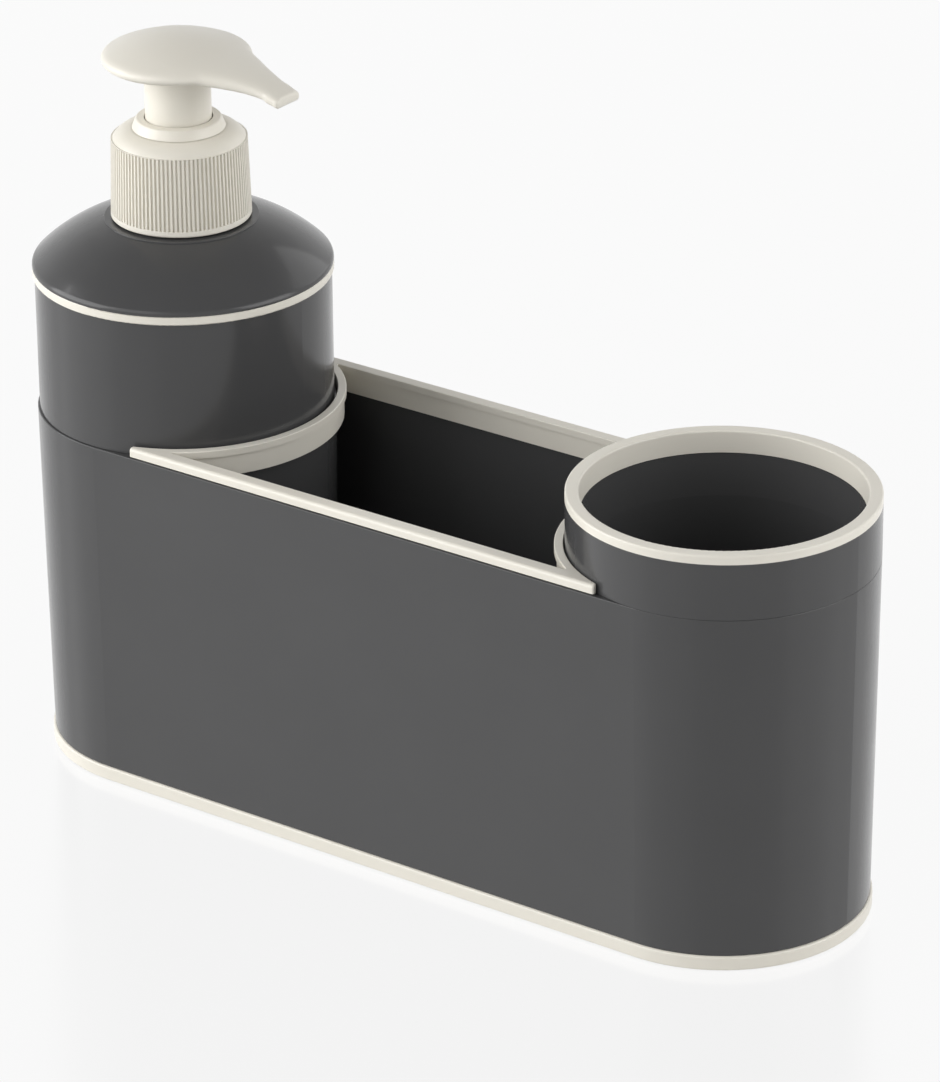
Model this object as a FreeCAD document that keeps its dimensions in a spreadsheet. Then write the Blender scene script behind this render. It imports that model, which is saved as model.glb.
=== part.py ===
"""Soap pump caddy: a stadium-shaped holder for a pump bottle, a sponge and a beaker.

Millimetres, +Z up. The origin is the middle of the underside. The bottle stands at -X, the beaker at +X,
and the pump's spout points at the beaker.
"""
import FreeCAD, Part
import math
import os
from types import SimpleNamespace

import Sketcher

DIMENSIONS = {
    # holder: shell and base
    "axis_gap": 155.0,            # bottle's axis to beaker's axis
    "shell_radius": 36.0,         # outside, at the top edge
    "shell_draft": 1.0,           # the foot's radius is smaller by this
    "shell_height": 85.0,
    "shell_wall": 2.2,
    "shell_floor": 2.0,
    "shell_round": 0.25,
    "corner_tip": 0.38,           # width of the flat across each narrow corner of the compartment
    "base_height": 3.6,
    "base_proud": 0.5,
    "base_round": 0.6,
    "plug_height": 3.0,           # rim of the base inside the shell
    "plug_wall": 2.0,
    "fit_gap": 0.2,               # between pieces that are fixed together
    # trim round the sponge compartment
    "trim_rise": 2.6,             # above the shell's top edge
    "trim_inset": 0.1,            # behind the shell's outer face
    "trim_shadow": 0.4,           # height of the shadow gap under the trim's edge
    "trim_shadow_depth": 0.8,
    "trim_gap": 0.3,              # clear of the bottle and the beaker
    "trim_rail": 3.5,             # width of the straight rails
    "trim_ring": 2.1,             # width of the curved ends
    "trim_lip": 1.75,
    "trim_lip_proud": 0.6,
    "trim_skirt": 4.4,            # reach down inside the compartment
    "trim_round": 0.22,           # along the opening and the tubes, not across their short corners
    "rail_round": 0.9,            # along the outside
    "horn_tip": 1.3,              # width of each horn's end
    "horn_round": 0.5,
    "foot_tip": 0.72,
    "skirt_tip": 0.89,
    "opening_tip": 0.32,
    # bottle
    "bottle_inset": 0.5,          # part above the shell, behind the shell's outer face
    "bottle_rise": 33.7,          # from the shell's top edge to the band
    "bottle_wall": 1.8,
    "bottle_round": 0.15,
    "vessel_gap": 0.35,           # bottle and beaker to the walls of their tubes
    "vessel_rest": 0.4,           # bottle and beaker to the floors of their tubes
    "vessel_foot_round": 2.0,
    "band_proud": 0.5,            # band and shoulder beyond the bottle
    "band_height": 2.2,
    "band_round": 0.3,
    "spigot_depth": 6.0,          # shoulder's rim inside the bottle
    "spigot_wall": 1.6,
    "shoulder_lip": 0.9,          # upright edge above the band
    "shoulder_lip_round": 1.6,
    "shoulder_rise": 11.7,        # from the band to the top of the dome
    "shoulder_bulge": 1.3,        # crown of the dome's arc over its chord
    "shoulder_wall": 2.2,
    "land_margin": 1.7,           # ring round the collar that stands a step above the dome
    "land_step": 0.4,
    "land_round": 0.15,
    "neck_gap": 0.4,              # barrel to the neck's bore
    "neck_wall": 1.5,
    "neck_height": 16.8,
    # screw thread of the neck and the collar
    "thread_pitch": 4.233,
    "neck_thread_turns": 1.25,
    "neck_thread_depth": 1.1,
    "neck_thread_root": 2.2,
    "neck_thread_crest": 1.0,
    "neck_thread_top_gap": 2.0,   # plain neck above the thread
    "collar_thread_turns": 1.0,
    "collar_thread_root": 2.0,
    "collar_thread_crest": 0.9,
    "thread_sink": 0.3,           # root of a thread inside its wall
    "thread_gap": 0.4,            # neck's thread to the collar's bore
    "thread_root_gap": 0.5,       # collar's thread to the neck
    # collar
    "collar_wall": 2.8,
    "collar_draft": 0.6,          # the ribs' top radius is smaller by this
    "collar_land_gap": 0.4,
    "collar_lip": 1.5,            # plain edge under the ribs
    "collar_lip_round": 0.4,
    "collar_shoulder": 2.5,       # height of the rounded shoulder above the ribs
    "collar_edge_inset": 0.4,
    "collar_top_margin": 0.5,     # flat ring between the shoulder and the boss
    "collar_bulge": 0.55,         # crown of the shoulder's arc over its chord
    "collar_plate": 2.1,
    "collar_hole_gap": 0.3,
    "rib_count": 100.0,
    "rib_stop": 0.1,              # from the ribs' top to the shoulder
    "rib_depth": 0.55,
    "rib_groove": 0.62,           # width of a groove at its mouth
    "rib_groove_floor": 0.2,
    # pump: fixed pieces in the neck
    "gasket_thickness": 1.0,
    "gasket_gap": 0.15,
    "flange_inset": 0.2,          # behind the neck's outside
    "flange_thickness": 1.5,
    "socket_wall": 0.9,           # wide top of the barrel
    "barrel_wall": 1.1,
    "barrel_depth": 38.3,         # from the ledge to the floor
    "barrel_floor": 3.0,
    "tube_socket_wall": 1.4,
    "tube_socket_depth": 8.0,
    "tube_radius": 3.1,
    "tube_wall": 0.9,
    "tube_gap": 0.1,              # dip tube to its socket
    "tube_clear": 3.0,            # end of the dip tube to the bottle's floor
    "guide_plate": 0.8,
    "guide_wall": 1.3,
    "guide_neck_wall": 0.6,       # added to the sleeve inside the collar's hole
    "guide_sleeve_gap": 0.2,
    "guide_bore_gap": 0.3,        # head's tube to the guide
    "guide_floor": 1.5,
    "guide_stem_gap": 0.3,
    "boss_lap": 0.7,              # over the collar's hole
    "boss_taper": 1.0,
    "boss_height": 2.4,
    "boss_round": 0.6,
    "slip_gap": 0.1,              # between flat faces that turn on each other
    # pump: valves, spring, piston, stem
    "inlet_ball_radius": 2.4,
    "outlet_ball_radius": 2.1,
    "seat_margin": 0.6,           # a ball's radius beyond its seat's
    "seat_gap": 0.05,
    "ball_play": 0.4,             # a ball to the wall round it
    "inlet_lift": 1.75,           # room above each ball
    "outlet_lift": 1.5,
    "cage_gap": 0.15,
    "cage_flange": 2.0,
    "cage_wall": 1.1,
    "cage_roof": 1.2,
    "cage_slot": 1.2,
    "spring_gap": 0.3,            # spring to the cage
    "spring_room": 1.0,           # spring to the barrel's wall
    "wire_radius": 0.5,
    "spring_turns": 8.0,
    "piston_gap": 0.1,
    "piston_top_gap": 0.7,
    "piston_height": 7.0,
    "piston_lip": 1.4,
    "piston_waist": 0.7,          # depth of the groove between the lips
    "stem_wall": 0.7,             # round the outlet valve's chamber
    "stem_flange": 1.2,
    "stem_flange_margin": 0.4,    # beyond the spring
    "cap_height": 1.5,
    "cap_gap": 0.1,
    "cap_bore": 1.0,
    "cap_slot": 0.8,
    # head
    "head_stroke": 13.0,
    "press_gap": 0.4,             # what is left under the head at the end of its stroke
    "head_tube_radius": 7.9,
    "head_tube_wall": 1.2,
    "head_tube_overlap": 3.5,     # inside the guide, head up
    "head_socket_wall": 1.45,
    "head_socket_gap": 0.05,
    "head_socket_reach": 11.4,
    "head_socket_roof": 1.8,      # below the head's underside
    "head_passage": 1.5,
    "disc_radius": 18.2,
    "disc_foot_inset": 1.6,
    "disc_rim_height": 1.5,       # underside to the widest level
    "disc_foot_round": 2.2,
    "disc_brim_inset": 1.8,       # where the rim meets the dome
    "disc_brim_height": 3.3,
    "disc_brim_round": 2.3,
    "disc_rise": 6.8,
    "spout_root_x": 8.0,
    "spout_root_inset": 0.9,      # root's corners behind the disc's brim
    "spout_root_low": 0.6,        # low and high edges count from the head's underside
    "spout_root_high": 5.0,
    "spout_neck_x": -2.2,         # these three count from the disc's edge
    "spout_neck_half": 9.8,
    "spout_neck_low": -0.4,
    "spout_neck_high": 3.7,
    "spout_mid_x": 5.8,
    "spout_mid_half": 6.1,
    "spout_mid_low": -1.5,
    "spout_mid_high": 2.1,
    "spout_tip_x": 14.8,
    "spout_tip_half": 4.4,
    "spout_tip_low": -3.7,
    "spout_tip_high": -1.2,
    "channel_radius": 0.65,
    "channel_end": 2.4,           # short of the spout's tip
    "channel_drop": 6.0,          # depth of the cut from the channel out of the underside
    # beaker
    "cup_rise": 13.6,             # from the shell's top edge to the rim
    "cup_wall": 2.0,
    "rim_height": 2.2,
    "rim_width": 3.2,
    "rim_skirt": 3.2,
    "rim_skirt_wall": 1.3,
    "rim_round": 0.5,
}

SAME = 1e-4                       # two lengths this close are the same edge
doc = FreeCAD.newDocument("soap_pump_caddy")
sheet = doc.addObject("Spreadsheet::Sheet", "Dims")
subparts = []


class Size:
    """A length from the sheet: text is the expression that drives the model, value its number now."""

    def __init__(self, text, value):
        self.text = text
        self.value = value

    def __add__(self, other):
        other = as_size(other)
        return Size(f"({self.text} + {other.text})", self.value + other.value)

    def __sub__(self, other):
        other = as_size(other)
        return Size(f"({self.text} - {other.text})", self.value - other.value)

    def __mul__(self, other):
        other = as_size(other)
        return Size(f"({self.text} * {other.text})", self.value * other.value)

    def __truediv__(self, other):
        other = as_size(other)
        return Size(f"({self.text} / {other.text})", self.value / other.value)

    def __neg__(self):
        return Size(f"(0 - {self.text})", -self.value)


def as_size(number):
    """A plain number as a Size."""
    if isinstance(number, Size):
        return number
    return Size(repr(float(number)), float(number))


def root(size):
    """Square root of a Size."""
    return Size(f"sqrt({size.text})", math.sqrt(size.value))


def fill_sheet():
    """Write the driving dimensions to the sheet and return them as Sizes."""
    sizes = {}
    for row, (name, number) in enumerate(DIMENSIONS.items(), 1):
        sheet.set(f"A{row}", name)
        sheet.set(f"B{row}", str(number))
        sheet.setAlias(f"B{row}", name)
        sizes[name] = Size(f"Dims.{name}", number)
    doc.recompute()
    return SimpleNamespace(**sizes)


d = fill_sheet()
NONE = as_size(0)

# Axes and radii that several pieces share, from the inside outwards
half_gap = d.axis_gap / 2
bottle_x = -half_gap
cup_x = half_gap
shell_foot_radius = d.shell_radius - d.shell_draft
bottle_radius = d.shell_radius - d.bottle_inset
band_radius = bottle_radius + d.band_proud
cage_bore = d.inlet_ball_radius + d.ball_play
cage_radius = cage_bore + d.cage_wall
spring_radius = cage_radius + d.spring_gap + d.wire_radius
barrel_bore = spring_radius + d.wire_radius + d.spring_room
barrel_radius = barrel_bore + d.barrel_wall
inlet_radius = d.inlet_ball_radius - d.seat_margin
chamber_radius = d.outlet_ball_radius + d.ball_play
stem_radius = chamber_radius + d.stem_wall
stem_bore = d.outlet_ball_radius - d.seat_margin
guide_bore = d.head_tube_radius + d.guide_bore_gap
sleeve_radius = guide_bore + d.guide_wall
socket_bore = sleeve_radius + d.fit_gap
socket_radius = socket_bore + d.socket_wall
neck_bore = socket_radius + d.neck_gap
neck_radius = neck_bore + d.neck_wall
flange_radius = neck_radius - d.flange_inset
neck_crest = neck_radius + d.neck_thread_depth
collar_bore = neck_crest + d.thread_gap
collar_radius = collar_bore + d.collar_wall
land_radius = collar_radius + d.land_margin
guide_neck = sleeve_radius + d.guide_neck_wall
collar_hole = guide_neck + d.collar_hole_gap
boss_radius = collar_hole + d.boss_lap
rim_skirt_radius = d.shell_radius - d.cup_wall - d.fit_gap
rim_skirt_bore = rim_skirt_radius - d.rim_skirt_wall


def above_seat(ball_radius, seat_radius):
    """Height of a ball's centre above the round edge that it rests on."""
    return root(ball_radius * ball_radius - seat_radius * seat_radius) + d.seat_gap


# Levels that several pieces share
shell_top = d.base_height + d.shell_height
plug_top = d.base_height + d.plug_height
floor_low = plug_top + d.fit_gap
floor_top = floor_low + d.shell_floor
vessel_low = floor_top + d.vessel_rest
trim_top = shell_top + d.trim_rise
band_low = shell_top + d.bottle_rise
band_top = band_low + d.band_height
land = band_top + d.shoulder_rise
neck_top = land + d.neck_height
gasket_top = neck_top + d.gasket_thickness
flange_top = gasket_top + d.flange_thickness
guide_plate_top = flange_top + d.guide_plate
collar_low = land + d.collar_land_gap
collar_under = guide_plate_top + d.slip_gap
collar_top = collar_under + d.collar_plate
boss_low = collar_top + d.slip_gap
boss_top = boss_low + d.boss_height
head_under = boss_top + d.head_stroke + d.press_gap
head_tube_low = boss_top - d.head_tube_overlap
guide_floor = head_tube_low - d.head_stroke - d.press_gap
guide_low = guide_floor - d.guide_floor
ledge = guide_low - d.guide_sleeve_gap
barrel_floor = ledge - d.barrel_depth
barrel_foot = barrel_floor - d.barrel_floor
piston_top = guide_low - d.piston_top_gap
piston_low = piston_top - d.piston_height
stem_flange_top = piston_low - d.slip_gap
stem_low = stem_flange_top - d.stem_flange
cage_flange_top = barrel_floor + d.cage_flange
inlet_centre = barrel_floor + above_seat(d.inlet_ball_radius, inlet_radius)
cage_ceiling = inlet_centre + d.inlet_ball_radius + d.inlet_lift
socket_roof = head_under - d.head_socket_roof
stem_top = socket_roof - d.slip_gap
cap_low = stem_top - d.cap_height
outlet_centre = cap_low - d.outlet_lift - d.outlet_ball_radius
outlet_seat = outlet_centre - above_seat(d.outlet_ball_radius, stem_bore)
cup_top = shell_top + d.cup_rise


def bow(run, rise, bulge):
    """Radius of an arc that spans (run, rise) and stands bulge over its chord."""
    chord_squared = run * run + rise * rise
    return (chord_squared / 4 + bulge * bulge) / (bulge * 2)


def shell_outer(level):
    """Outside radius of the drafted shell at a level."""
    share = (level - d.base_height) / d.shell_height
    return shell_foot_radius + d.shell_draft * share


def tube_inner(level):
    """Inside radius of the shell's two tubes at a level."""
    return shell_outer(level) - d.shell_wall


def vessel_outer(level):
    """Outside radius of the bottle and the beaker inside their tubes."""
    return tube_inner(level) - d.vessel_gap


def new_body(label, along=None):
    """A body for one sub-part, on the bottle's or the beaker's axis if that is given."""
    body = doc.addObject("PartDesign::Body", label)
    body.Label = label
    if along is not None:
        body.setExpression("Placement.Base.x", along.text)
    subparts.append(body)
    return body


def plane(body, role):
    """One of the body's own origin planes or axes."""
    return next(item for item in body.Origin.OriginFeatures if item.Role == role)


def flat(x, y):
    return FreeCAD.Vector(x, y, 0)


def arc_between(start, end, radius, turn):
    """The short arc from start to end, counter-clockwise if turn is 1 and clockwise if it is -1."""
    chord = end - start
    rise = math.sqrt(max(radius ** 2 - (chord.Length / 2) ** 2, 0))
    left = flat(-chord.y, chord.x) / chord.Length
    centre = (start + end) / 2 + left * rise * turn
    if turn < 0:
        start, end = end, start
    first = math.atan2(start.y - centre.y, start.x - centre.x)
    last = math.atan2(end.y - centre.y, end.x - centre.x)
    if last < first:
        last += 2 * math.pi
    return Part.ArcOfCircle(Part.Circle(centre, FreeCAD.Vector(0, 0, 1), radius), first, last)


def bind(profile, constraint, size):
    """Add a constraint whose value follows the sheet."""
    index = profile.addConstraint(constraint)
    profile.setExpression(f"Constraints[{index}]", size.text)


def fix_point(profile, geometry, end, x, y):
    """Hold one end of a line or arc at (x, y)."""
    if x is NONE:
        profile.addConstraint(Sketcher.Constraint("PointOnObject", geometry, end, -2))
    else:
        bind(profile, Sketcher.Constraint("DistanceX", -1, 1, geometry, end, x.value), x)
    if y is NONE:
        profile.addConstraint(Sketcher.Constraint("PointOnObject", geometry, end, -1))
    else:
        bind(profile, Sketcher.Constraint("DistanceY", -1, 1, geometry, end, y.value), y)


def draw(profile, points):
    """Closed outline. A point is (x, y), or (x, y, radius, turn) where an arc leads to the next point."""
    ends = []
    for index, point in enumerate(points):
        following = points[(index + 1) % len(points)]
        start = flat(point[0].value, point[1].value)
        end = flat(following[0].value, following[1].value)
        if len(point) == 2:
            geometry = profile.addGeometry(Part.LineSegment(start, end))
            ends.append((geometry, 1, 2))
        else:
            radius, turn = point[2:]
            geometry = profile.addGeometry(arc_between(start, end, radius.value, turn))
            ends.append((geometry, 1, 2) if turn > 0 else (geometry, 2, 1))
    for index, point in enumerate(points):
        geometry, first, _ = ends[index]
        before, _, last = ends[index - 1]
        profile.addConstraint(Sketcher.Constraint("Coincident", before, last, geometry, first))
        fix_point(profile, geometry, first, point[0], point[1])
        if len(point) > 2:
            bind(profile, Sketcher.Constraint("Radius", geometry, point[2].value), point[2])


def sketch(body, name, role, points, level=None, across=None):
    """A sketch on an origin plane, moved along its normal by level and along its x by across."""
    profile = body.newObject("Sketcher::SketchObject", name)
    profile.AttachmentSupport = [(plane(body, role), "")]
    profile.MapMode = "FlatFace"
    if level is not None:
        profile.setExpression("AttachmentOffset.Base.z", level.text)
    if across is not None:
        profile.setExpression("AttachmentOffset.Base.x", across.text)
    draw(profile, points)
    return profile


def turn_solid(body, name, points, kind="Revolution", across=None):
    """Turn an (r, z) outline about the Z axis: a Revolution adds and a Groove cuts."""
    profile = sketch(body, name + "_profile", "XZ_Plane", points, across=across)
    feature = body.newObject("PartDesign::" + kind, name)
    feature.Profile = profile
    feature.ReferenceAxis = (profile, ["V_Axis"])
    feature.Angle = 360
    profile.Visibility = False
    return feature


def turned(label, points, along):
    """A body made by turning one (r, z) outline."""
    body = new_body(label, along)
    turn_solid(body, label + "_turn", points)
    return body


def pad(body, name, points, low, height):
    """Add an outline in plan from low upwards."""
    feature = body.newObject("PartDesign::Pad", name)
    feature.Profile = sketch(body, name + "_outline", "XY_Plane", points, low)
    feature.setExpression("Length", height.text)
    return feature


def pocket(body, name, points, level, depth, upwards=False):
    """Cut an outline in plan from a level downwards, or upwards."""
    feature = body.newObject("PartDesign::Pocket", name)
    feature.Profile = sketch(body, name + "_outline", "XY_Plane", points, level)
    feature.Reversed = upwards
    feature.setExpression("Length", depth.text)
    return feature


def loft(body, name, kind, outlines, ruled):
    """Loft through (points, level) outlines in plan."""
    profiles = []
    for index, (points, level) in enumerate(outlines):
        profiles.append(sketch(body, f"{name}_outline_{index}", "XY_Plane", points, level))
    feature = body.newObject("PartDesign::" + kind, name)
    feature.Profile = profiles[0]
    feature.Sections = profiles[1:]
    feature.Ruled = ruled
    return feature


def rounded(body, radius, wanted):
    """Fillet the edges that wanted picks."""
    doc.recompute()
    base = body.Tip
    names = [f"Edge{index}" for index, edge in enumerate(base.Shape.Edges, 1) if wanted(edge)]
    if not names:
        raise RuntimeError(f"no edge to round on {body.Label}")
    fillet = body.newObject("PartDesign::Fillet", f"{body.Name}_round")
    fillet.Base = (base, names)
    fillet.setExpression("Radius", radius.text)
    return fillet


def ring(radius, level):
    """Picks the circle of a radius about the Z axis at a level."""
    def wanted(edge):
        if not isinstance(edge.Curve, Part.Circle):
            return False
        centre = edge.Curve.Center
        same_place = math.hypot(centre.x, centre.y) < SAME and abs(centre.z - level.value) < SAME
        return same_place and abs(edge.Curve.Radius - radius.value) < SAME
    return wanted


def middle(edge):
    """Point half-way along an edge."""
    return edge.valueAt((edge.FirstParameter + edge.LastParameter) / 2)


def on_stadium(radius, level):
    """Picks the edges of a stadium outline of a radius at a level."""
    def wanted(edge):
        point = middle(edge)
        beyond = max(abs(point.x) - half_gap.value, 0)
        return abs(point.z - level.value) < SAME and abs(math.hypot(beyond, point.y) - radius.value) < SAME
    return wanted


def either(*tests):
    return lambda edge: any(test(edge) for test in tests)


def stadium(radius):
    """Outline of the holder in plan."""
    return [
        (bottle_x, -radius),
        (cup_x, -radius, radius, 1),
        (cup_x + radius, NONE, radius, 1),
        (cup_x, radius),
        (bottle_x, radius, radius, 1),
        (bottle_x - radius, NONE, radius, 1),
    ]


def between_tubes(half_width, radius, tip):
    """Outline in plan between two circles on the two axes, with each corner cut off where it is tip wide."""
    edge_y = half_width - tip
    edge_x = half_gap - root(radius * radius - edge_y * edge_y)
    return [
        (-edge_x, -half_width),
        (edge_x, -half_width),
        (edge_x, -edge_y, radius, -1),
        (edge_x, edge_y),
        (edge_x, half_width),
        (-edge_x, half_width),
        (-edge_x, edge_y, radius, -1),
        (-edge_x, -edge_y),
    ]


# Holder
def outer_shell():
    """Two drafted tubes joined by two straight walls, with one floor and a recess under it."""
    body = new_body("outer_shell")
    loft(body, "shell_outside", "AdditiveLoft", [
        (stadium(shell_foot_radius), d.base_height),
        (stadium(d.shell_radius), shell_top),
    ], True)
    tube = [
        (NONE, floor_top),
        (tube_inner(floor_top), floor_top),
        (tube_inner(shell_top), shell_top),
        (NONE, shell_top),
    ]
    turn_solid(body, "bottle_tube", tube, "Groove", bottle_x)
    turn_solid(body, "cup_tube", tube, "Groove", cup_x)
    loft(body, "compartment", "SubtractiveLoft", [
        (between_tubes(tube_inner(floor_top), shell_outer(floor_top), d.corner_tip), floor_top),
        (between_tubes(tube_inner(shell_top), shell_outer(shell_top), d.corner_tip), shell_top),
    ], True)
    pocket(body, "plug_recess", stadium(shell_foot_radius - d.shell_wall), d.base_height,
           d.plug_height + d.fit_gap, True)
    rounded(body, d.shell_round, either(on_stadium(d.shell_radius, shell_top),
                                        on_stadium(shell_foot_radius, d.base_height)))


def base_plate():
    """Plate with a rim that plugs into the shell."""
    body = new_body("base_plate")
    edge = shell_foot_radius + d.base_proud
    plug = shell_foot_radius - d.shell_wall - d.fit_gap
    pad(body, "base_sole", stadium(edge), NONE, d.base_height)
    pad(body, "base_plug", stadium(plug), d.base_height, d.plug_height)
    pocket(body, "base_hollow", stadium(plug - d.plug_wall), plug_top, d.plug_height)
    rounded(body, d.base_round, either(on_stadium(edge, d.base_height), on_stadium(edge, NONE)))


def compartment_trim():
    """Frame that drops into the sponge compartment, with horns along the tubes."""
    body = new_body("compartment_trim")
    half = d.shell_radius - d.trim_inset
    ring_radius = d.shell_radius + d.trim_gap
    inner_half = half - d.trim_rail
    inner_ring = ring_radius + d.trim_ring
    skirt_half = d.shell_radius - d.shell_wall - d.fit_gap
    skirt_low = shell_top - d.trim_skirt
    lip_low = trim_top - d.trim_lip
    flange_low = shell_top + d.trim_shadow
    pad(body, "trim_flange", between_tubes(half, ring_radius, d.horn_tip), flange_low,
        d.trim_rise - d.trim_shadow)
    pad(body, "trim_foot", between_tubes(half - d.trim_shadow_depth, ring_radius, d.foot_tip), shell_top,
        d.trim_shadow)
    pad(body, "trim_skirt", between_tubes(skirt_half, ring_radius, d.skirt_tip), skirt_low, d.trim_skirt)
    pocket(body, "trim_opening", between_tubes(inner_half, inner_ring, d.opening_tip), trim_top,
           trim_top - skirt_low)
    pocket(body, "trim_lip", between_tubes(inner_half + d.trim_lip_proud, inner_ring - d.trim_lip_proud,
                                           d.opening_tip), lip_low, lip_low - skirt_low)

    def at_top(edge):
        return abs(middle(edge).z - trim_top.value) < SAME

    def along_top(edge):
        return at_top(edge) and edge.Length > 2 * d.horn_tip.value

    def on_rail(edge):
        return abs(abs(middle(edge).y) - half.value) < SAME

    def on_horn(edge):
        upright = abs(edge.Vertexes[0].Z - edge.Vertexes[-1].Z) > SAME
        above_foot = middle(edge).z > flange_low.value
        return upright and above_foot and abs(middle(edge).y) > inner_half.value + SAME

    rounded(body, d.rail_round, lambda edge: at_top(edge) and on_rail(edge))
    rounded(body, d.horn_round, on_horn)
    rounded(body, d.trim_round, along_top)


# Bottle
def bottle_body():
    """Bottle whose lower part stands in its tube and whose step lies on the shell's edge."""
    wall = d.bottle_wall
    low = vessel_outer(vessel_low)
    high = vessel_outer(shell_top)
    step = shell_top + wall
    body = turned("bottle_body", [
        (NONE, vessel_low),
        (low, vessel_low),
        (high, shell_top),
        (bottle_radius, shell_top),
        (bottle_radius, band_low),
        (bottle_radius - wall, band_low),
        (bottle_radius - wall, step),
        (high - wall, step),
        (low - wall, vessel_low + wall),
        (NONE, vessel_low + wall),
    ], bottle_x)
    rounded(body, d.bottle_round, ring(bottle_radius, shell_top))
    rounded(body, d.vessel_foot_round, ring(low, vessel_low))


def bottle_band():
    """Ring between the bottle and its shoulder."""
    bore = bottle_radius - d.bottle_wall
    body = turned("bottle_band", [
        (bore, band_low),
        (band_radius, band_low),
        (band_radius, band_top),
        (bore, band_top),
    ], bottle_x)
    rounded(body, d.band_round, either(ring(band_radius, band_low), ring(band_radius, band_top)))


def add_thread(body, name, root_radius, crest_radius, root_width, crest_width, low, turns):
    """Helical ridge with a trapezoid section, whose middle starts at low."""
    profile = sketch(body, name + "_section", "XZ_Plane", [
        (root_radius, low - root_width / 2),
        (crest_radius, low - crest_width / 2),
        (crest_radius, low + crest_width / 2),
        (root_radius, low + root_width / 2),
    ])
    thread = body.newObject("PartDesign::AdditiveHelix", name)
    thread.Profile = profile
    thread.ReferenceAxis = (profile, ["V_Axis"])
    thread.Mode = "pitch-turns-angle"
    thread.setExpression("Pitch", d.thread_pitch.text)
    thread.setExpression("Turns", turns.text)
    return thread


thread_low = neck_top - d.neck_thread_top_gap - d.thread_pitch * d.neck_thread_turns


def bottle_shoulder():
    """Dome with a rim inside the bottle and a threaded neck."""
    spigot = bottle_radius - d.bottle_wall - d.fit_gap
    spigot_bore = spigot - d.spigot_wall
    lip_top = band_top + d.shoulder_lip
    spigot_low = band_low - d.spigot_depth
    ceiling = land - d.shoulder_wall
    dome_top = land - d.land_step
    dome_bow = bow(band_radius - land_radius, dome_top - lip_top, d.shoulder_bulge)
    body = turned("bottle_shoulder", [
        (spigot_bore, spigot_low),
        (spigot, spigot_low),
        (spigot, band_top),
        (band_radius, band_top),
        (band_radius, lip_top, dome_bow, 1),
        (land_radius, dome_top),
        (land_radius, land),
        (neck_radius, land),
        (neck_radius, neck_top),
        (neck_bore, neck_top),
        (neck_bore, ceiling),
        (land_radius, ceiling, dome_bow - d.shoulder_wall, -1),
        (spigot_bore, lip_top),
    ], bottle_x)
    rounded(body, d.shoulder_lip_round, ring(band_radius, lip_top))
    rounded(body, d.land_round, ring(land_radius, land))
    add_thread(body, "neck_thread", neck_radius - d.thread_sink, neck_crest,
               d.neck_thread_root, d.neck_thread_crest, thread_low, d.neck_thread_turns)


# Collar
def pump_collar():
    """Ribbed screw collar, threaded inside half a pitch away from the neck's thread."""
    rib_low = collar_low + d.collar_lip
    edge = collar_top - d.collar_shoulder
    rib_top = edge - d.rib_stop
    edge_radius = collar_radius - d.collar_draft
    shoulder_radius = edge_radius - d.collar_edge_inset
    top_radius = boss_radius + d.collar_top_margin
    shoulder_bow = bow(shoulder_radius - top_radius, d.collar_shoulder, d.collar_bulge)
    body = turned("pump_collar", [
        (collar_bore, collar_low),
        (collar_radius, collar_low),
        (edge_radius, edge),
        (shoulder_radius, edge, shoulder_bow, 1),
        (top_radius, collar_top),
        (collar_hole, collar_top),
        (collar_hole, collar_under),
        (collar_bore, collar_under),
    ], bottle_x)
    rounded(body, d.collar_lip_round, ring(collar_radius, collar_low))
    add_thread(body, "collar_thread", collar_bore + d.thread_sink, neck_radius + d.thread_root_gap,
               d.collar_thread_root, d.collar_thread_crest, thread_low - d.thread_pitch / 2,
               d.collar_thread_turns)
    floor_half = d.rib_groove_floor / 2
    flare = d.rib_groove - d.rib_groove_floor

    def groove_outline(level):
        outer = collar_radius - d.collar_draft * ((level - collar_low) / (edge - collar_low))
        return [
            (outer - d.rib_depth, -floor_half),
            (outer + d.rib_depth, -floor_half - flare),
            (outer + d.rib_depth, floor_half + flare),
            (outer - d.rib_depth, floor_half),
        ]

    groove = loft(body, "rib_groove", "SubtractiveLoft", [
        (groove_outline(rib_low), rib_low),
        (groove_outline(rib_top), rib_top),
    ], True)
    ribs = body.newObject("PartDesign::PolarPattern", "ribs")
    ribs.Originals = [groove]
    ribs.Axis = (plane(body, "Z_Axis"), [""])
    ribs.Angle = 360
    ribs.setExpression("Occurrences", d.rib_count.text)
    body.Tip = ribs


# Pump
def pump_gasket():
    """Flat seal between the neck and the barrel's flange."""
    bore = socket_radius + d.gasket_gap
    turned("pump_gasket", [
        (bore, neck_top),
        (flange_radius, neck_top),
        (flange_radius, gasket_top),
        (bore, gasket_top),
    ], bottle_x)


def pump_cylinder():
    """Barrel that hangs from its flange, with the inlet seat and the dip tube's socket at its foot."""
    tube_socket_low = barrel_foot - d.tube_socket_depth
    tube_socket_bore = d.tube_radius + d.tube_gap
    tube_socket_radius = tube_socket_bore + d.tube_socket_wall
    step = ledge - d.barrel_wall
    turned("pump_cylinder", [
        (tube_socket_bore, tube_socket_low),
        (tube_socket_radius, tube_socket_low),
        (tube_socket_radius, barrel_foot),
        (barrel_radius, barrel_foot),
        (barrel_radius, step),
        (socket_radius, step),
        (socket_radius, gasket_top),
        (flange_radius, gasket_top),
        (flange_radius, flange_top),
        (socket_bore, flange_top),
        (socket_bore, ledge),
        (barrel_bore, ledge),
        (barrel_bore, barrel_floor),
        (inlet_radius, barrel_floor),
        (inlet_radius, barrel_foot),
        (tube_socket_bore, barrel_foot),
    ], bottle_x)


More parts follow.
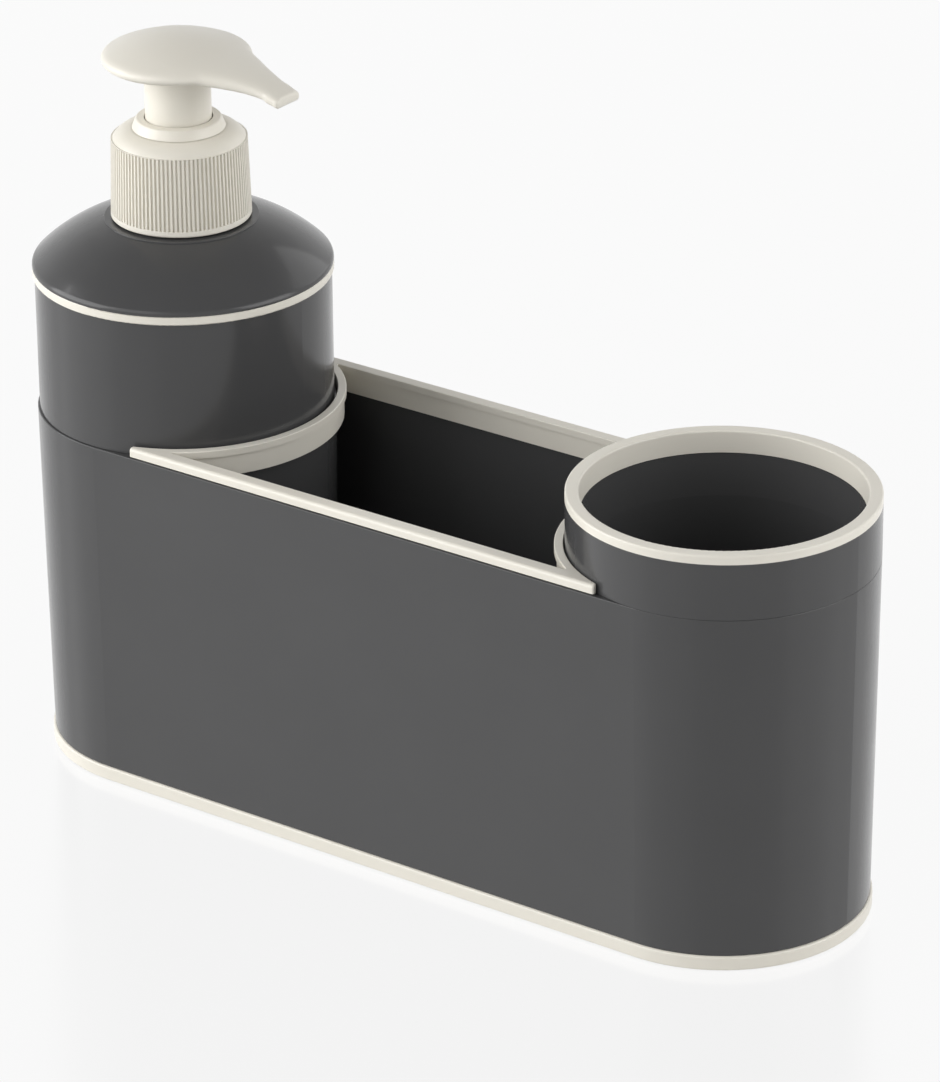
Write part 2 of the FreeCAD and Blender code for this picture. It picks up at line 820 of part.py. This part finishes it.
def stem_guide():
    """Snap-in guide: it closes the barrel, keeps the collar and guides the head's tube."""
    stem_hole = stem_radius + d.guide_stem_gap
    boss_top_radius = boss_radius - d.boss_taper
    body = turned("stem_guide", [
        (stem_hole, guide_low),
        (sleeve_radius, guide_low),
        (sleeve_radius, flange_top),
        (flange_radius, flange_top),
        (flange_radius, guide_plate_top),
        (guide_neck, guide_plate_top),
        (guide_neck, boss_low),
        (boss_radius, boss_low),
        (boss_top_radius, boss_top),
        (guide_bore, boss_top),
        (guide_bore, guide_floor),
        (stem_hole, guide_floor),
    ], bottle_x)
    rounded(body, d.boss_round, ring(boss_top_radius, boss_top))


def dip_tube():
    """Tube from the barrel's foot to just above the bottle's floor."""
    bore = d.tube_radius - d.tube_wall
    high = barrel_foot - d.slip_gap
    low = vessel_low + d.bottle_wall + d.tube_clear
    turned("dip_tube", [
        (bore, low),
        (d.tube_radius, low),
        (d.tube_radius, high),
        (bore, high),
    ], bottle_x)


def valve_cage():
    """Insert on the barrel's floor that keeps the inlet ball and carries the spring."""
    top = cage_ceiling + d.cage_roof
    flange = barrel_bore - d.cage_gap
    body = turned("valve_cage", [
        (cage_bore, barrel_floor),
        (flange, barrel_floor),
        (flange, cage_flange_top),
        (cage_radius, cage_flange_top),
        (cage_radius, top),
        (NONE, top),
        (NONE, cage_ceiling),
        (cage_bore, cage_ceiling),
    ], bottle_x)
    half = d.cage_slot / 2
    for name, long, wide in (("cage_slot_x", cage_bore, half), ("cage_slot_y", half, cage_bore)):
        pocket(body, name, [(-long, -wide), (long, -wide), (long, wide), (-long, wide)], top, d.cage_roof)


def ball(label, radius, centre):
    """Steel valve ball."""
    solid = doc.addObject("Part::Sphere", label)
    solid.Label = label
    solid.setExpression("Radius", radius.text)
    solid.setExpression("Placement.Base.x", bottle_x.text)
    solid.setExpression("Placement.Base.z", centre.text)
    subparts.append(solid)


def inlet_ball():
    ball("inlet_ball", d.inlet_ball_radius, inlet_centre)


def outlet_ball():
    ball("outlet_ball", d.outlet_ball_radius, outlet_centre)


def biarc(start, start_way, end, end_way):
    """Two tangent arcs from start to end that leave and arrive along the given unit directions."""
    span = end - start
    ways = start_way + end_way
    turn = 2 * (1 - start_way.dot(end_way))
    along = span.dot(ways)
    reach = (-along + math.sqrt(along ** 2 + turn * span.dot(span))) / turn
    knee_one = start + start_way * reach
    knee_two = end - end_way * reach
    joint = (knee_one + knee_two) / 2
    return [arc_on_knee(start, knee_one, joint), arc_on_knee(joint, knee_two, end)]


def arc_on_knee(start, knee, end):
    """The arc from start to end whose end tangents meet at knee."""
    chord_middle = (start + end) / 2
    leg = (knee - start).Length
    half_chord = (end - start).Length / 2
    height = math.sqrt(leg ** 2 - half_chord ** 2)
    sagitta = half_chord * (leg - half_chord) / height
    crown = chord_middle + (knee - chord_middle) * (sagitta / height)
    return Part.Arc(start, crown, end).toShape()


def return_spring():
    """Compression spring between the cage's flange and the stem's flange, two biarcs a half turn."""
    radius = spring_radius.value
    wire = d.wire_radius.value
    turns = d.spring_turns.value
    low = cage_flange_top.value + wire
    rise = stem_low.value - wire - low
    steps = round(turns * 4)
    slope = rise / turns / (2 * math.pi * radius)

    def place(step):
        angle = step * math.pi / 2
        return FreeCAD.Vector(radius * math.cos(angle), radius * math.sin(angle), rise * step / steps)

    def way(step):
        angle = step * math.pi / 2
        return FreeCAD.Vector(-math.sin(angle), math.cos(angle), slope).normalize()

    edges = []
    for step in range(steps):
        edges += biarc(place(step), way(step), place(step + 1), way(step + 1))
    section = Part.Wire([Part.Circle(place(0), way(0), wire).toShape()])
    coil = doc.addObject("Part::Feature", "return_spring")
    coil.Label = "return_spring"
    coil.Shape = Part.Wire(edges).makePipeShell([section], True, False)
    coil.Placement = FreeCAD.Placement(FreeCAD.Vector(bottle_x.value, 0, low), FreeCAD.Rotation())
    subparts.append(coil)
    print(f"return_spring: gap between turns {rise / turns - 2 * wire:.2f} mm")


def piston():
    """Two-lipped seal on the stem."""
    outside = barrel_bore - d.piston_gap
    waist = outside - d.piston_waist
    bore = stem_radius + d.piston_gap
    turned("piston", [
        (bore, piston_low),
        (outside, piston_low),
        (outside, piston_low + d.piston_lip),
        (waist, piston_low + d.piston_lip),
        (waist, piston_top - d.piston_lip),
        (outside, piston_top - d.piston_lip),
        (outside, piston_top),
        (bore, piston_top),
    ], bottle_x)


def stem():
    """Hollow rod with a flange under the piston and the outlet valve's chamber at its top."""
    flange = spring_radius + d.wire_radius + d.stem_flange_margin
    turned("stem", [
        (stem_bore, stem_low),
        (flange, stem_low),
        (flange, stem_flange_top),
        (stem_radius, stem_flange_top),
        (stem_radius, stem_top),
        (chamber_radius, stem_top),
        (chamber_radius, outlet_seat),
        (stem_bore, outlet_seat),
    ], bottle_x)


def stem_cap():
    """Slotted plug that keeps the outlet ball in its chamber."""
    outside = chamber_radius - d.cap_gap
    body = turned("stem_cap", [
        (d.cap_bore, cap_low),
        (outside, cap_low),
        (outside, stem_top),
        (d.cap_bore, stem_top),
    ], bottle_x)
    half = d.cap_slot / 2
    pocket(body, "cap_slot", [(-outside, -half), (outside, -half), (outside, half), (-outside, half)],
           cap_low, d.cap_height / 2, True)


# Head
def spout_section(half, low, high):
    """Section of the spout across its length: flat below, rounded sides, crowned top."""
    side = (high - low) / 4
    return [
        (-half + side, low),
        (half - side, low, side, 1),
        (half, low + side),
        (half, low + side * 2, side * 2.2, 1),
        (half - side * 2, high - side * 0.4, half * 4, 1),
        (-half + side * 2, high - side * 0.4, side * 2.2, 1),
        (-half, low + side * 2),
        (-half, low + side, side, 1),
    ]


def spout_stations(brim_radius):
    """The spout's sections as (x, half width, low edge, high edge)."""
    brim_half = root(brim_radius * brim_radius - d.spout_root_x * d.spout_root_x)
    rows = [
        (d.spout_root_x, brim_half - d.spout_root_inset, d.spout_root_low, d.spout_root_high),
        (d.disc_radius + d.spout_neck_x, d.spout_neck_half, d.spout_neck_low, d.spout_neck_high),
        (d.disc_radius + d.spout_mid_x, d.spout_mid_half, d.spout_mid_low, d.spout_mid_high),
        (d.disc_radius + d.spout_tip_x, d.spout_tip_half, d.spout_tip_low, d.spout_tip_high),
    ]
    return [(x, half, head_under + low, head_under + high) for x, half, low, high in rows]


def loft_along(body, name, kind, sections):
    """Smooth loft through (points, x) sections across the spout."""
    profiles = []
    for index, (points, x) in enumerate(sections):
        profiles.append(sketch(body, f"{name}_section_{index}", "YZ_Plane", points, x))
    feature = body.newObject("PartDesign::" + kind, name)
    feature.Profile = profiles[0]
    feature.Sections = profiles[1:]
    return feature


def diamond(radius, level):
    """Round channel section, as four quarter arcs."""
    return [
        (-radius, level, radius, 1),
        (NONE, level - radius, radius, 1),
        (radius, level, radius, 1),
        (NONE, level + radius, radius, 1),
    ]


def pump_head():
    """Domed press disc with its spout, its tube and the socket for the stem."""
    brim_radius = d.disc_radius - d.disc_brim_inset
    stations = spout_stations(brim_radius)
    channel_levels = [(low + high) / 2 for _, _, low, high in stations]
    tube_bore = d.head_tube_radius - d.head_tube_wall
    stem_socket_low = head_under - d.head_socket_reach
    stem_socket_bore = stem_radius + d.head_socket_gap
    stem_socket_radius = stem_socket_bore + d.head_socket_wall
    dome = d.disc_rise - d.disc_brim_height
    dome_bow = (brim_radius * brim_radius + dome * dome) / (dome * 2)
    body = turned("pump_head", [
        (NONE, channel_levels[0]),
        (d.head_passage, channel_levels[0]),
        (d.head_passage, socket_roof),
        (stem_socket_bore, socket_roof),
        (stem_socket_bore, stem_socket_low),
        (stem_socket_radius, stem_socket_low),
        (stem_socket_radius, head_under),
        (tube_bore, head_under),
        (tube_bore, head_tube_low),
        (d.head_tube_radius, head_tube_low),
        (d.head_tube_radius, head_under),
        (d.disc_radius - d.disc_foot_inset, head_under, d.disc_foot_round, 1),
        (d.disc_radius, head_under + d.disc_rim_height, d.disc_brim_round, 1),
        (brim_radius, head_under + d.disc_brim_height, dome_bow, 1),
        (NONE, head_under + d.disc_rise),
    ], bottle_x)
    loft_along(body, "spout", "AdditiveLoft",
               [(spout_section(half, low, high), x) for x, half, low, high in stations])
    channel_end = stations[-1][0] - d.channel_end
    channel_x = [NONE] + [x for x, _, _, _ in stations[1:-1]] + [channel_end]
    loft_along(body, "channel", "SubtractiveLoft",
               [(diamond(d.channel_radius, level), x) for level, x in zip(channel_levels, channel_x)])
    mouth = d.channel_radius * 1.4
    pocket(body, "mouth", [
        (channel_end - mouth * 2, -mouth),
        (channel_end, -mouth),
        (channel_end, mouth),
        (channel_end - mouth * 2, mouth),
    ], channel_levels[-1], d.channel_drop)


# Beaker
def cup_body():
    """Beaker whose step lies on the shell's edge and whose inside is flush with the rim's skirt."""
    wall = d.cup_wall
    low = vessel_outer(vessel_low)
    high = vessel_outer(shell_top)
    rebate = cup_top - d.rim_skirt - d.fit_gap
    body = turned("cup_body", [
        (NONE, vessel_low),
        (low, vessel_low),
        (high, shell_top),
        (d.shell_radius, shell_top),
        (d.shell_radius, cup_top),
        (d.shell_radius - wall, cup_top),
        (d.shell_radius - wall, rebate),
        (rim_skirt_bore, rebate),
        (high - wall, shell_top),
        (low - wall, vessel_low + wall),
        (NONE, vessel_low + wall),
    ], cup_x)
    rounded(body, d.bottle_round, ring(d.shell_radius, shell_top))
    rounded(body, d.vessel_foot_round, ring(low, vessel_low))


def cup_rim():
    """Rim ring with a skirt inside the beaker."""
    skirt_low = cup_top - d.rim_skirt
    top = cup_top + d.rim_height
    bore = d.shell_radius - d.rim_width
    body = turned("cup_rim", [
        (rim_skirt_bore, skirt_low),
        (rim_skirt_radius, skirt_low),
        (rim_skirt_radius, cup_top),
        (d.shell_radius, cup_top),
        (d.shell_radius, top),
        (bore, top),
    ], cup_x)
    rounded(body, d.rim_round, either(ring(d.shell_radius, top), ring(bore, top)))


def check_and_export():
    """Stop on any failed object or shape, then write each sub-part to its own file."""
    doc.recompute()
    for item in doc.Objects:
        if "Invalid" in item.State or "Error" in item.State:
            raise RuntimeError(f"{item.Name} failed: {item.State}")
    for item in subparts:
        shape = item.Shape
        if shape.isNull() or not shape.isValid() or len(shape.Solids) != 1:
            raise RuntimeError(f"{item.Label} has no single valid solid")
    os.makedirs("parts", exist_ok=True)
    for item in subparts:
        item.Shape.exportStep(f"parts/{item.Label}.step")
        print(f"{item.Label}: {item.Shape.Volume:.1f} mm3")


MAKERS = [
    outer_shell, base_plate, compartment_trim,
    bottle_body, bottle_band, bottle_shoulder,
    pump_collar, pump_gasket, pump_cylinder, stem_guide, dip_tube, valve_cage,
    inlet_ball, return_spring, piston, stem, outlet_ball, stem_cap, pump_head,
    cup_body, cup_rim,
]
for make in MAKERS:
    make()
check_and_export()
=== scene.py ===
import math

import bmesh
import bpy
from mathutils import Matrix, Vector


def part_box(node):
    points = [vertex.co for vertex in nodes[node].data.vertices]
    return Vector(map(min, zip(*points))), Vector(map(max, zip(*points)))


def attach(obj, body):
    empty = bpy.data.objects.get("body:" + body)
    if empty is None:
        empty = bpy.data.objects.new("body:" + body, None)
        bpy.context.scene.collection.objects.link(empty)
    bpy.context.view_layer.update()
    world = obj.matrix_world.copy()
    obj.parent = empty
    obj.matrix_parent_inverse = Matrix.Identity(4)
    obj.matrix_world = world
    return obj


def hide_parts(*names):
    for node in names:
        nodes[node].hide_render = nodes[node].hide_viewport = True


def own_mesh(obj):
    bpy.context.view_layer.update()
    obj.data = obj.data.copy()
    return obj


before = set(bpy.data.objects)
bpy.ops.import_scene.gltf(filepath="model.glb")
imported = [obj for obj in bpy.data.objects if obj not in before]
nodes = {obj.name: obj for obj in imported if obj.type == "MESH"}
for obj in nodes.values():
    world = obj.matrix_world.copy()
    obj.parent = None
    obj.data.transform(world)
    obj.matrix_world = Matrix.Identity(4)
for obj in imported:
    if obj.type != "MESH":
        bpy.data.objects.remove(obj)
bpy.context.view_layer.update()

# A soap pump caddy in a white studio. Lengths are in metres where nothing else is said.

# Camera of the photograph
PHOTO_HEIGHT = 1082               # pixels
FOCAL_PIXELS = 5770.0
SENSOR = 36.0                     # millimetres
AZIMUTH = math.radians(36.135)
ELEVATION = math.radians(24.806)
ROLL = math.radians(-0.546)
CAMERA_PLACE = Vector((0.730555, -0.991758, 0.640272))

# CAD nodes of each material slot
FINISHES = {
    "anthracite_plastic": ["outer_shell", "bottle_body", "bottle_shoulder", "cup_body"],
    "cream_plastic": ["base_plate", "compartment_trim", "bottle_band", "pump_collar", "stem_guide",
                      "pump_head", "cup_rim"],
    "natural_plastic": ["pump_cylinder", "dip_tube", "valve_cage", "piston", "stem", "stem_cap"],
    "seal_rubber": ["pump_gasket"],
    "steel": ["return_spring", "inlet_ball", "outlet_ball"],
}

# Linear colours, each a darker and a lighter shade of the same material
ANTHRACITE = ((0.060, 0.060, 0.061), (0.068, 0.068, 0.069))
CREAM = ((0.745, 0.71, 0.625), (0.785, 0.755, 0.68))
NATURAL = ((0.70, 0.70, 0.67), (0.78, 0.78, 0.75))
RUBBER = ((0.70, 0.70, 0.68), (0.77, 0.77, 0.75))
STEEL = ((0.56, 0.57, 0.58), (0.66, 0.67, 0.68))

# Plastics: shades, range of roughness, depth of the grain, specular level, weight of the clear coat
PLASTICS = {
    "anthracite_plastic": (ANTHRACITE, (0.16, 0.24), 0.000003, 0.2, 0.2),
    "cream_plastic": (CREAM, (0.30, 0.40), 0.000003, 0.5, 0.0),
    "natural_plastic": (NATURAL, (0.32, 0.45), 0.000004, 0.5, 0.0),
}
PLASTIC_IOR = 1.5
COAT_IOR = 1.45
COAT_ROUGHNESS = 0.08
RUBBER_ROUGHNESS = (0.6, 0.8)
STEEL_ROUGHNESS = (0.16, 0.32)

# Noise patterns: width of the blotches, detail
PLASTIC_CLOUDS = (0.03, 3)
PLASTIC_GLOSS = (0.012, 4)
PLASTIC_WAVES = (0.016, 1)
PLASTIC_SPECKS = (0.0007, 2)
RUBBER_CLOUDS = (0.004, 4)
RUBBER_GLOSS = (0.002, 3)
RUBBER_DUST = (0.0004, 2)
STEEL_CLOUDS = (0.003, 4)
STEEL_GLOSS = (0.001, 4)
STEEL_LINES = (0.0006, 2)
FLOOR_CLOUDS = (0.5, 2)
EVEN = (1, 1, 1)
FINE_UPWARDS = (1, 1, 6)          # blotches this many times finer along each axis
NOISE_LOW = 0.3                   # most of a noise lies between these two values
NOISE_HIGH = 0.7
WAVE_DEPTH = 0.00003
DUST_DEPTH = 0.00002
LINE_DEPTH = 0.000006

# Press head
HEAD_VOXEL = 0.0004
HEAD_BLEND_STEPS = 30
HEAD_BLEND = 0.5                  # how far a point goes towards its neighbours in each step
HEAD_DEPTH = 0.0105               # the head is blended down to this far below its top
DISC_DEPTH = 0.0068               # from the head's top to the disc's underside
SPOUT_END = 0.0035                # this much of the spout keeps its crisp edges

# Floor and surroundings
FLOOR_SIZE = 12.0
FLOOR_DROP = 0.00005              # keeps the floor clear of the base's underside
FLOOR_SHADE = 0.70
FLOOR_TINT = 0.02                 # how much lighter its clouds get
FLOOR_ROUGHNESS = 0.9
FLOOR_WHITENING = 0.97            # share of plain white over the lit floor
FLOOR_MIRROR = 0.11               # share of its reflection
MIRROR_ROUGHNESS = 0.2
AMBIENT = 0.24
ZENITH = 0.35                     # the studio is darker overhead
WHITE_BELOW = math.radians(18)
GREY_ABOVE = math.radians(55)

# Soft panels: azimuth and elevation in degrees, distance, size, watts
PANELS = {
    "key_panel": (-50, 15, 1.6, 1.5, 30.0),
    "front_panel": (-5, 30, 1.8, 1.2, 7.0),
    "fill_panel": (105, 18, 1.7, 1.4, 19.0),
    "rim_panel": (165, 25, 1.6, 1.0, 3.0),
}
LIGHT_AIM = Vector((0, 0, 0.08))


def add_object(name, data):
    """A new object in the scene."""
    thing = bpy.data.objects.new(name, data)
    bpy.context.scene.collection.objects.link(thing)
    return thing


def direction(azimuth, elevation):
    """Unit vector away from the object. Azimuth 0 is in front of it and a right angle is at its right."""
    level = math.cos(elevation)
    return Vector((math.sin(azimuth) * level, -math.cos(azimuth) * level, math.sin(elevation)))


# Materials
def new_material(name):
    """An empty material with one Principled shader."""
    material = bpy.data.materials.new(name)
    material.use_nodes = True
    tree = material.node_tree
    tree.nodes.clear()
    output = tree.nodes.new("ShaderNodeOutputMaterial")
    shader = tree.nodes.new("ShaderNodeBsdfPrincipled")
    tree.links.new(shader.outputs["BSDF"], output.inputs["Surface"])
    return material, tree, shader


def noise(tree, pattern, fineness=EVEN):
    """Noise of a pattern's blotch width and detail, finer along some axes if asked."""
    size, detail = pattern
    place = tree.nodes.new("ShaderNodeTexCoord")
    mapping = tree.nodes.new("ShaderNodeMapping")
    mapping.inputs["Scale"].default_value = fineness
    texture = tree.nodes.new("ShaderNodeTexNoise")
    texture.inputs["Scale"].default_value = 1 / size
    texture.inputs["Detail"].default_value = detail
    tree.links.new(place.outputs["Object"], mapping.inputs["Vector"])
    tree.links.new(mapping.outputs["Vector"], texture.inputs["Vector"])
    return texture.outputs["Fac"]


def spread(tree, factor, low, high):
    """The middle of a noise's range spread over low to high."""
    node = tree.nodes.new("ShaderNodeMapRange")
    node.inputs["From Min"].default_value = NOISE_LOW
    node.inputs["From Max"].default_value = NOISE_HIGH
    node.inputs["To Min"].default_value = low
    node.inputs["To Max"].default_value = high
    tree.links.new(factor, node.inputs["Value"])
    return node.outputs["Result"]


def shades(tree, factor, pair):
    """Mix of two shades of a colour."""
    node = tree.nodes.new("ShaderNodeMix")
    node.data_type = "RGBA"
    colours = [socket for socket in node.inputs if socket.type == "RGBA"]
    colours[0].default_value = (*pair[0], 1)
    colours[1].default_value = (*pair[1], 1)
    tree.links.new(factor, node.inputs[0])
    return next(socket for socket in node.outputs if socket.type == "RGBA")


def bump(tree, height, depth, under=None):
    """Relief of depth metres, over another relief if one is given."""
    node = tree.nodes.new("ShaderNodeBump")
    node.inputs["Strength"].default_value = 1
    node.inputs["Distance"].default_value = depth
    tree.links.new(height, node.inputs["Height"])
    if under is not None:
        tree.links.new(under, node.inputs["Normal"])
    return node.outputs["Normal"]


def moulded_plastic(name, pair, roughness, grain, shine, coat):
    """Moulded plastic: cloudy shade, uneven gloss, faint flow waves and a fine grain."""
    material, tree, shader = new_material(name)
    shader.inputs["IOR"].default_value = PLASTIC_IOR
    shader.inputs["Specular IOR Level"].default_value = shine
    shader.inputs["Coat Weight"].default_value = coat
    shader.inputs["Coat Roughness"].default_value = COAT_ROUGHNESS
    shader.inputs["Coat IOR"].default_value = COAT_IOR
    clouds = noise(tree, PLASTIC_CLOUDS)
    tree.links.new(shades(tree, clouds, pair), shader.inputs["Base Color"])
    gloss = noise(tree, PLASTIC_GLOSS)
    tree.links.new(spread(tree, gloss, *roughness), shader.inputs["Roughness"])
    waves = bump(tree, noise(tree, PLASTIC_WAVES), WAVE_DEPTH)
    specks = noise(tree, PLASTIC_SPECKS)
    tree.links.new(bump(tree, specks, grain, waves), shader.inputs["Normal"])
    return material


def seal_rubber(name, pair):
    """Soft matt rubber with a fine dusty grain."""
    material, tree, shader = new_material(name)
    clouds = noise(tree, RUBBER_CLOUDS)
    tree.links.new(shades(tree, clouds, pair), shader.inputs["Base Color"])
    gloss = noise(tree, RUBBER_GLOSS)
    tree.links.new(spread(tree, gloss, *RUBBER_ROUGHNESS), shader.inputs["Roughness"])
    dust = noise(tree, RUBBER_DUST)
    tree.links.new(bump(tree, dust, DUST_DEPTH), shader.inputs["Normal"])
    return material


def polished_steel(name, pair):
    """Steel with fine drawing lines."""
    material, tree, shader = new_material(name)
    shader.inputs["Metallic"].default_value = 1
    clouds = noise(tree, STEEL_CLOUDS)
    tree.links.new(shades(tree, clouds, pair), shader.inputs["Base Color"])
    gloss = noise(tree, STEEL_GLOSS)
    tree.links.new(spread(tree, gloss, *STEEL_ROUGHNESS), shader.inputs["Roughness"])
    lines = noise(tree, STEEL_LINES, FINE_UPWARDS)
    tree.links.new(bump(tree, lines, LINE_DEPTH), shader.inputs["Normal"])
    return material


def make_materials():
    """The material of each slot."""
    materials = {name: moulded_plastic(name, *look) for name, look in PLASTICS.items()}
    materials["seal_rubber"] = seal_rubber("seal_rubber", RUBBER)
    materials["steel"] = polished_steel("steel", STEEL)
    return materials


def finish_nodes(materials):
    """Give every CAD node the material of its slot."""
    for slot, names in FINISHES.items():
        for name in names:
            data = nodes[name].data
            data.materials.clear()
            data.materials.append(materials[slot])


# Pieces that stand for CAD nodes
def make_press_head(plastic):
    """The press head with its spout blended into the disc, over the CAD head's own space."""
    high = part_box("pump_head")[1]
    guide_low, guide_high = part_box("stem_guide")
    axis = (guide_low + guide_high) / 2
    guide_radius = guide_high.y - axis.y
    underside = high.z - DISC_DEPTH

    def blends(point):
        """Whether a point is blended: not at the spout's end, nor where the disc meets the guide."""
        over_guide = math.hypot(point.x - axis.x, point.y - axis.y) < guide_radius
        if over_guide and point.z < underside + HEAD_VOXEL:
            return False
        return point.z > high.z - HEAD_DEPTH and point.x < high.x - SPOUT_END

    rough = add_object("press_head_rough", nodes["pump_head"].data.copy())
    remesh = rough.modifiers.new("voxels", "REMESH")
    remesh.mode = "VOXEL"
    remesh.voxel_size = HEAD_VOXEL
    graph = bpy.context.evaluated_depsgraph_get()
    data = bpy.data.meshes.new_from_object(rough.evaluated_get(graph))
    bpy.data.objects.remove(rough)
    shape = bmesh.new()
    shape.from_mesh(data)
    soft = [vert for vert in shape.verts if blends(vert.co)]
    for _ in range(HEAD_BLEND_STEPS):
        bmesh.ops.smooth_vert(shape, verts=soft, factor=HEAD_BLEND,
                              use_axis_x=True, use_axis_y=True, use_axis_z=True)
    shape.to_mesh(data)
    shape.free()
    for face in data.polygons:
        face.use_smooth = True
    data.materials.clear()
    data.materials.append(plastic)
    head = add_object("press_head", data)
    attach(head, "head")
    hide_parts("pump_head")


def make_coil_spring():
    """The return spring as a piece of its own, a copy of the CAD spring carried by the pump."""
    coil = add_object("coil_spring", nodes["return_spring"].data.copy())
    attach(coil, "pump")
    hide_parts("return_spring")
    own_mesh(coil)


# Studio
def light_path_white(tree):
    """1 where a camera, glossy or transmission ray looks at the background."""
    path = tree.nodes.new("ShaderNodeLightPath")
    total = path.outputs["Is Camera Ray"]
    for ray in ("Is Glossy Ray", "Is Transmission Ray"):
        node = tree.nodes.new("ShaderNodeMath")
        node.operation = "MAXIMUM"
        tree.links.new(total, node.inputs[0])
        tree.links.new(path.outputs[ray], node.inputs[1])
        total = node.outputs[0]
    return total


def mix_shaders(tree, first, second):
    """Mix of two shaders. The node's own first input is the share of the second."""
    node = tree.nodes.new("ShaderNodeMixShader")
    tree.links.new(first, node.inputs[1])
    tree.links.new(second, node.inputs[2])
    return node


def make_floor():
    """Pale glossy floor that shows white and keeps a soft shadow."""
    half = FLOOR_SIZE / 2
    corners = [(-half, -half, 0), (half, -half, 0), (half, half, 0), (-half, half, 0)]
    mesh = bpy.data.meshes.new("floor")
    mesh.from_pydata(corners, [], [(0, 1, 2, 3)])
    floor = add_object("floor", mesh)
    floor.location.z = -FLOOR_DROP
    material, tree, shader = new_material("floor")
    clouds = noise(tree, FLOOR_CLOUDS)
    pale = ((FLOOR_SHADE,) * 3, (FLOOR_SHADE + FLOOR_TINT,) * 3)
    tree.links.new(shades(tree, clouds, pale), shader.inputs["Base Color"])
    shader.inputs["Roughness"].default_value = FLOOR_ROUGHNESS
    shader.inputs["Specular IOR Level"].default_value = 0
    white = tree.nodes.new("ShaderNodeEmission")
    white.inputs["Strength"].default_value = 1
    share = tree.nodes.new("ShaderNodeMath")
    share.operation = "MULTIPLY"
    share.inputs[1].default_value = FLOOR_WHITENING
    tree.links.new(light_path_white(tree), share.inputs[0])
    whitened = mix_shaders(tree, shader.outputs["BSDF"], white.outputs["Emission"])
    tree.links.new(share.outputs[0], whitened.inputs[0])
    mirror = tree.nodes.new("ShaderNodeBsdfGlossy")
    mirror.inputs["Roughness"].default_value = MIRROR_ROUGHNESS
    sheen = mix_shaders(tree, whitened.outputs["Shader"], mirror.outputs["BSDF"])
    sheen.inputs[0].default_value = FLOOR_MIRROR
    output = next(node for node in tree.nodes if node.type == "OUTPUT_MATERIAL")
    tree.links.new(sheen.outputs["Shader"], output.inputs["Surface"])
    mesh.materials.append(material)


def make_world():
    """White surroundings that fade to grey overhead, with a weak even light."""
    world = bpy.data.worlds.new("studio")
    bpy.context.scene.world = world
    world.use_nodes = True
    tree = world.node_tree
    tree.nodes.clear()
    output = tree.nodes.new("ShaderNodeOutputWorld")
    place = tree.nodes.new("ShaderNodeTexCoord")
    axes = tree.nodes.new("ShaderNodeSeparateXYZ")
    tree.links.new(place.outputs["Generated"], axes.inputs["Vector"])
    fade = tree.nodes.new("ShaderNodeMapRange")
    fade.inputs["From Min"].default_value = math.sin(WHITE_BELOW)
    fade.inputs["From Max"].default_value = math.sin(GREY_ABOVE)
    fade.inputs["To Min"].default_value = 1
    fade.inputs["To Max"].default_value = ZENITH
    tree.links.new(axes.outputs["Z"], fade.inputs["Value"])
    seen = tree.nodes.new("ShaderNodeBackground")
    tree.links.new(fade.outputs["Result"], seen.inputs["Strength"])
    ambient = tree.nodes.new("ShaderNodeBackground")
    ambient.inputs["Strength"].default_value = AMBIENT
    for background in (seen, ambient):
        background.inputs["Color"].default_value = (1, 1, 1, 1)
    mix = mix_shaders(tree, ambient.outputs["Background"], seen.outputs["Background"])
    tree.links.new(light_path_white(tree), mix.inputs[0])
    tree.links.new(mix.outputs["Shader"], output.inputs["Surface"])


def make_lights():
    """Large soft panels round the object."""
    for name, (azimuth, elevation, distance, size, watts) in PANELS.items():
        lamp = bpy.data.lights.new(name, "AREA")
        lamp.shape = "SQUARE"
        lamp.size = size
        lamp.energy = watts
        way = direction(math.radians(azimuth), math.radians(elevation))
        panel = add_object(name, lamp)
        panel.location = LIGHT_AIM + way * distance
        panel.rotation_euler = (-way).to_track_quat("-Z", "Y").to_euler()
        panel.visible_camera = False


def make_camera():
    """Camera at the photograph's place and angle."""
    back = direction(AZIMUTH, ELEVATION)
    level_right = Vector((math.cos(AZIMUTH), math.sin(AZIMUTH), 0))
    level_up = back.cross(level_right)
    right = math.cos(ROLL) * level_right + math.sin(ROLL) * level_up
    up = math.cos(ROLL) * level_up - math.sin(ROLL) * level_right
    data = bpy.data.cameras.new("camera")
    data.sensor_fit = "VERTICAL"
    data.sensor_height = SENSOR
    data.lens = FOCAL_PIXELS * SENSOR / PHOTO_HEIGHT
    camera = add_object("camera", data)
    turned = Matrix((right, up, back)).transposed().to_4x4()
    camera.matrix_world = Matrix.Translation(CAMERA_PLACE) @ turned
    bpy.context.scene.camera = camera


bpy.context.scene.view_settings.view_transform = "Standard"
slot_materials = make_materials()
finish_nodes(slot_materials)
make_press_head(slot_materials["cream_plastic"])
make_coil_spring()
make_floor()
make_world()
make_lights()
make_camera()
